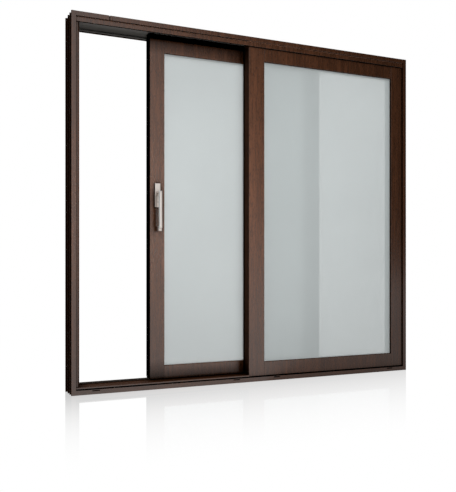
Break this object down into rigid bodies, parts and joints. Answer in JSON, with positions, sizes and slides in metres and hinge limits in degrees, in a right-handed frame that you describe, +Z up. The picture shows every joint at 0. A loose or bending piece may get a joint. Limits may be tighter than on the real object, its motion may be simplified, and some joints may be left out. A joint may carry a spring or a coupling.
{
  "type": "glass sliding patio door",
  "caption": "Glazed sliding patio door in a dark wood frame: a glass panel rolls behind a fixed glass panel and carries a long turning lever handle.",
  "frame": {"origin": "centre of the sill's underside, at mid width and mid depth of the frame", "axes": "+X to the right as seen from the side with the fixed panel in front, +Y from that side through the door, +Z up"},
  "size_m": [2.38, 0.221, 2.2],
  "materials": {
    "frame_wood": "dark brown stained hardwood, satin varnish",
    "panel_wood": "dark brown stained hardwood, satin varnish",
    "glass": "pale blue-grey satin float glass",
    "track_grey": "matt dark grey coating",
    "seal_black": "matt",
    "rail_aluminium": "dark anodised",
    "gear_steel": "zinc plated",
    "roller_plastic": "moulded nylon",
    "handle_metal": "satin nickel",
    "spacer_aluminium": "mill"
  },
  "bodies": {
    "frame": {"left_jamb": "frame_wood", "right_jamb": "frame_wood", "head": "frame_wood", "head_joint_plug": "frame_wood", "head_trim": "frame_wood", "head_track": "track_grey", "sill": "frame_wood", "sill_seal": "seal_black", "sill_tread": "frame_wood", "sill_track": "frame_wood", "sill_rail": "rail_aluminium", "jamb_seal": "seal_black", "fixed_left_stile": "panel_wood", "fixed_right_stile": "panel_wood", "fixed_bottom_rail": "panel_wood", "fixed_top_rail": "panel_wood", "fixed_outer_pane": "glass", "fixed_inner_pane": "glass", "fixed_spacers": "spacer_aluminium", "fixed_left_bead": "panel_wood", "fixed_right_bead": "panel_wood", "fixed_bottom_bead": "panel_wood", "fixed_top_bead": "panel_wood", "fixed_interlock": "seal_black"},
    "sliding_panel": {"sliding_left_stile": "panel_wood", "sliding_right_stile": "panel_wood", "sliding_bottom_rail": "panel_wood", "sliding_top_rail": "panel_wood", "sliding_outer_pane": "glass", "sliding_inner_pane": "glass", "sliding_spacers": "spacer_aluminium", "sliding_left_bead": "panel_wood", "sliding_right_bead": "panel_wood", "sliding_bottom_bead": "panel_wood", "sliding_top_bead": "panel_wood", "sliding_interlock": "seal_black", "sliding_edge_seal": "seal_black", "carriages": "gear_steel", "rollers": "roller_plastic", "top_guide": "seal_black", "front_backplate": "handle_metal", "rear_backplate": "handle_metal"},
    "handle": {"front_lever": "handle_metal", "rear_lever": "handle_metal", "spindle": "gear_steel"}
  },
  "joints": [
    {"name": "panel_slide", "type": "slide", "parent": "frame", "child": "sliding_panel", "axis": [1, 0, 0], "range_m": [-0.451, 0.521]},
    {"name": "handle_turn", "type": "hinge", "parent": "sliding_panel", "child": "handle", "pos_m": [-0.6435, 0.038, 1.18], "axis": [0, 1, 0], "range_deg": [-180, 0]}
  ]
}
